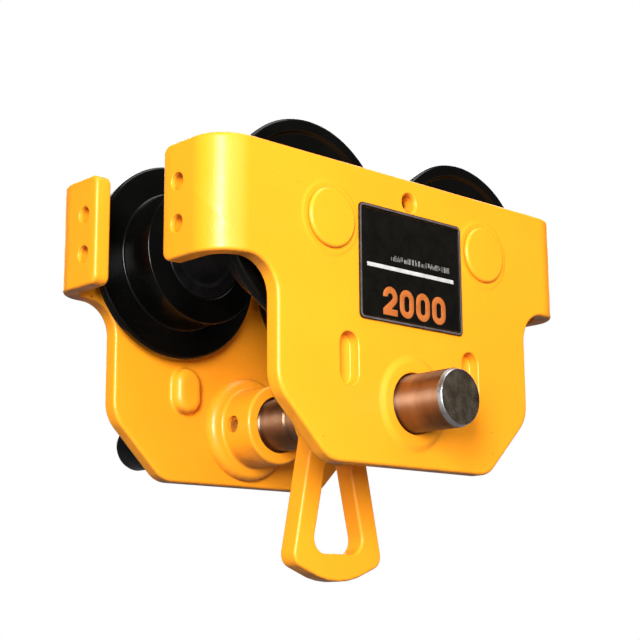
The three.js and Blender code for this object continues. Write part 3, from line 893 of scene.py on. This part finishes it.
def circlip_outline(inner, outer, lug, count=48):
    """A ring open at the bottom, with a lug at each end, and the middles of the lugs' two holes."""
    gap, lug_arc = 0.20, 0.17
    start, end = -math.pi / 2 + gap, 1.5 * math.pi - gap
    out_end, in_end = (lug, inner) if lug > outer else (outer, lug)

    def at(radius, angle):
        return Vector((radius * math.cos(angle), radius * math.sin(angle)))

    span = end - start - 2 * lug_arc
    sweep = [start + lug_arc + span * k / count for k in range(count + 1)]
    lug_start, lug_end = start + lug_arc * 0.6, end - lug_arc * 0.6
    points = [at(out_end, start), at(out_end, lug_start)]
    points += [at(outer, a) for a in sweep]
    points += [at(out_end, lug_end), at(out_end, end), at(in_end, end), at(in_end, lug_end)]
    points += [at(inner, a) for a in reversed(sweep)]
    points += [at(in_end, lug_start), at(in_end, start)]
    hole_r = (out_end + in_end) / 2
    return points, [at(hole_r, start + lug_arc * 0.42), at(hole_r, end - lug_arc * 0.42)]


def circlip(name, inner, outer, lug, x, side, body, node):
    outline, holes = circlip_outline(inner, outer, lug)
    low, high = box_mm(node)
    outer_v = max(abs(low.y), abs(high.y))
    thickness = high.y - low.y
    through = [bore_rings(spot.x, spot.y, 0.8, thickness, 0.15, 12) for spot in holes]

    def place(px, pz, depth):
        return (x + px, side * (outer_v - depth), AXLE_Z + pz)

    data = slab_mesh(name + "_mesh", outline, through, thickness, 0.2, place, steps=2)
    finish_piece(name, data, BLACKENED_AND_PAINTED_SHADE, body, node, "spring_steel")


def ball_cage(name, x, side, body, node):
    """A ring of balls in a two-part pressed cage with a pocket round each ball."""
    mid_v = (BEARING_OUT_V + BEARING_IN_V) / 2
    data = bpy.data.meshes.new(name + "_mesh")
    bm = bmesh.new()
    for k in range(BALLS):
        a = 2 * math.pi * k / BALLS
        spot = (x + BALL_PITCH_R * math.sin(a), side * mid_v, AXLE_Z + BALL_PITCH_R * math.cos(a))
        move = Matrix.Translation(spot)
        bmesh.ops.create_uvsphere(bm, u_segments=24, v_segments=14, radius=BALL_R, matrix=move)
    for made in bm.faces:
        made.material_index = 1
    # Two wavy ribbons: flat between the balls, bulged round each one
    steps = BALLS * 16
    cage_in, cage_out, cage_t = 22, 24, 0.7
    for face in (-1, 1):
        rows = []
        for radius, lift in ((cage_in, 0), (cage_in, cage_t), (cage_out, cage_t), (cage_out, 0)):
            row = []
            for k in range(steps):
                a = 2 * math.pi * k / steps
                near = (a * BALLS / (2 * math.pi)) % 1
                off = min(near, 1 - near) * 2 * math.pi / BALLS * BALL_PITCH_R
                bulge = math.sqrt(max(0, (BALL_R - 0.5) ** 2 - off ** 2))
                y = side * (mid_v + face * (0.1 + bulge + lift))
                row.append(bm.verts.new((x + radius * math.sin(a), y, AXLE_Z + radius * math.cos(a))))
            rows.append(row)
        for row, after in zip(rows, rows[1:] + rows[:1]):
            for k in range(steps):
                n = (k + 1) % steps
                bm.faces.new((row[k], row[n], after[n], after[k]))
    bmesh.ops.recalc_face_normals(bm, faces=bm.faces)
    bmesh.ops.scale(bm, vec=(MM, MM, MM), verts=bm.verts)
    for made in bm.faces:
        made.smooth = True
    bm.to_mesh(data)
    bm.free()
    finish_piece(name, data, [GROUND, BALL], body, node, "bright_steel")


def race_profile(plain_r, land_r, groove_r):
    """A bearing ring: plain on one side, with two lands and a ball groove on the other."""
    low, high = BEARING_IN_V + FIT, BEARING_OUT_V - FIT
    mid, half_groove = (low + high) / 2, 3.9
    depth = groove_r - land_r
    points = [(plain_r, low, 0.9), (land_r, low, 0.4), (land_r, mid - half_groove, 0.2)]
    for k in range(1, 8):
        t = math.pi * k / 8
        points.append((land_r + depth * math.sin(t), mid - half_groove * math.cos(t), 0))
    return points + [(land_r, mid + half_groove, 0.2), (land_r, high, 0.4), (plain_r, high, 0.9)]


def wheel_station(side_name, hand_name):
    side = SIDES[side_name]
    x = HANDS[hand_name] * AXLE_X
    corner = f"{side_name}_{hand_name}"
    plate, spin, roll = f"{side_name}_plate", f"wheel_{corner}", f"balls_{corner}"

    def turn(name, profile, material, body, node, slot, **options):
        data = turned_mesh(name + "_mesh", profile, x, AXLE_Z, side, **options)
        finish_piece(name, data, material, body, node, slot)

    turn(
        f"flanged_wheel_{corner}", wheel_profile(), BLACK, spin, f"wheel_{corner}", "black_gloss",
        count=128, steps=5,
    )

    head_v, groove_r = PLATE_OUT_V + FIT, AXLE_R - 1
    axle = [
        (0, head_v + AXLE_HEAD_T, 0), (AXLE_HEAD_R, head_v + AXLE_HEAD_T, 2.2), (AXLE_HEAD_R, head_v, 0),
        (AXLE_R, head_v, 0), (AXLE_R, BEARING_IN_V, 0.1), (groove_r, BEARING_IN_V, 0.1),
        (groove_r, CLIP_V, 0.1), (AXLE_R - 0.6, CLIP_V, 0), (AXLE_R - 1.4, AXLE_END_V, 0.2),
        (0, AXLE_END_V, 0),
    ]

    def slots(point):
        """The head is painted over, the rest is bare."""
        return 0 if point[1] > PLATE_OUT_V else 1

    turn(
        f"headed_axle_{corner}", axle, [PAINT, GROUND], plate, f"axle_{corner}", "yellow_paint",
        count=96, closed=False, steps=6, slots=slots,
    )
    near, far = BEARING_OUT_V, PLATE_IN_V - FIT
    inner, outer = AXLE_R + 0.4, AXLE_R + 3
    sleeve = [(inner, near, 0.3), (outer, near, 0.6), (outer, far, 0.6), (inner, far, 0.3)]
    turn(f"spacer_sleeve_{corner}", sleeve, GROUND, plate, f"spacer_{corner}", "bright_steel", count=64)
    for race, rides_on, profile in (
        ("inner", plate, race_profile(AXLE_R + FIT, 19.4, 18.1)),
        ("outer", spin, race_profile(BEARING_R - FIT, 26.8, 28.1)),
    ):
        node = f"bearing_{race}_{corner}"
        turn(f"{race}_race_{corner}", profile, GROUND, rides_on, node, "bright_steel", count=72)
    ball_cage(f"caged_balls_{corner}", x, side, roll, f"ball_cage_{corner}")
    circlip(f"bore_circlip_{corner}", 29, 31.9, 26.2, x, side, spin, f"wheel_circlip_{corner}")
    circlip(f"shaft_circlip_{corner}", 14.4, 17.6, 20, x, side, plate, f"axle_circlip_{corner}")
    cap_r, face, depth = BEARING_R - 0.4, WHEEL_BACK_V + FIT, 4
    cap = [
        (0, face + 0.9, 0), (20, face + 0.9, 1.0), (23, face, 1.2), (cap_r, face, 1.0),
        (cap_r, face + depth, 0.2), (cap_r - 1.6, face + depth, 0.2), (cap_r - 2, face + 2, 0.5),
        (0, face + 2, 0),
    ]
    turn(
        f"pressed_dust_cap_{corner}", cap, BLACKENED_AND_PAINTED_SHADE, spin, f"dust_cap_{corner}", "spring_steel",
        count=96, closed=False,
    )


# ---------------------------------------------------------------------------------------- studio
def studio():
    floor_z, reach = -0.30, 2.5
    corners = [(-reach, -reach), (reach, -reach), (reach, reach), (-reach, reach)]
    data = bpy.data.meshes.new("floor_mesh")
    data.from_pydata([(x, y, floor_z) for x, y in corners], [], [(0, 1, 2, 3)])
    floor = bpy.data.objects.new("floor", data)
    bpy.context.scene.collection.objects.link(floor)
    material, tree, shader = new_material("pale_floor")
    # Pale to look at and paler further out, but it throws back little light, so that undersides
    # stay in shade.
    tone = ramp(tree, noise(tree, 3, 3), [(0.3, (0.085, 0.085, 0.085)), (0.7, (0.095, 0.095, 0.095))])
    tree.links.new(tone, shader.inputs["Base Color"])
    shader.inputs["Roughness"].default_value = 0.8
    shader.inputs["Emission Color"].default_value = (1, 1, 1, 1)
    place = add_node(tree, "ShaderNodeNewGeometry")
    away = add_node(tree, "ShaderNodeVectorMath", operation="LENGTH")
    tree.links.new(place.outputs["Position"], away.inputs[0])
    paleness = spread(tree, away.outputs["Value"], 0.8, 1.0, 0.4, 2.2)
    seen = add_node(tree, "ShaderNodeLightPath")
    glow = multiply(tree, paleness, seen.outputs["Is Camera Ray"])
    tree.links.new(glow, shader.inputs["Emission Strength"])
    data.materials.append(material)

    # White behind the object, and a faint light from all round
    world = bpy.data.worlds.new("soft_studio")
    bpy.context.scene.world = world
    world.use_nodes = True
    tree = world.node_tree
    background = tree.nodes["Background"]
    background.inputs["Color"].default_value = (1, 1, 1, 1)
    seen = add_node(tree, "ShaderNodeLightPath")
    strength = spread(tree, seen.outputs["Is Camera Ray"], 0.07, 1.0, 0, 1)
    tree.links.new(strength, background.inputs["Strength"])

    # name, direction, distance, size, light on a surface that faces it
    for name, direction, distance, size, level in (
        ("key_strip", (-0.74, -0.62, 0.11), 1.7, (0.45, 0.8), 1.9),
        ("front_fill", (-0.16, -0.95, 0.2), 2.0, (1.4, 1.2), 0.7),
        ("top_fill", (0.1, -0.25, 1), 2.0, (1.2, 1.2), 0.45),
        ("back_fill", (0.62, 0.72, 0.48), 2.2, (3.0, 1.4), 1.5),
    ):
        light = bpy.data.lights.new(name, "AREA")
        light.shape, light.size, light.size_y = "RECTANGLE", size[0], size[1]
        light.energy = level * math.pi ** 2 * distance ** 2
        lamp = bpy.data.objects.new(name, light)
        lamp.visible_glossy = name != "front_fill"  # it only lifts the shade, with no highlight
        lamp.location = Vector(direction).normalized() * distance
        lamp.rotation_euler = (-lamp.location).to_track_quat("-Z", "Y").to_euler()
        bpy.context.scene.collection.objects.link(lamp)


def camera():
    """The photo's viewpoint, as a perspective fitted to the object gives it."""
    data = bpy.data.cameras.new("view")
    data.lens, data.sensor_width = 82.07, 36
    eye = bpy.data.objects.new("view", data)
    eye.location = (-0.6823, -0.7313, -0.2019)
    yaw, pitch, roll = (math.radians(a) for a in (-43.10, 11.78, -0.40))
    level = Matrix.Rotation(yaw, 4, "Z")
    tilted = Matrix.Rotation(math.pi / 2 + pitch, 4, "X") @ Matrix.Rotation(roll, 4, "Z")
    eye.rotation_euler = (level @ tilted).to_euler()
    bpy.context.scene.collection.objects.link(eye)
    bpy.context.scene.camera = eye


camera()
side_plates()
bosses()
set_screws()
load_bar()
link()
nameplate()
for side_name in SIDES:
    for hand_name in HANDS:
        wheel_station(side_name, hand_name)
studio()
bpy.context.scene.view_settings.view_transform = "Standard"
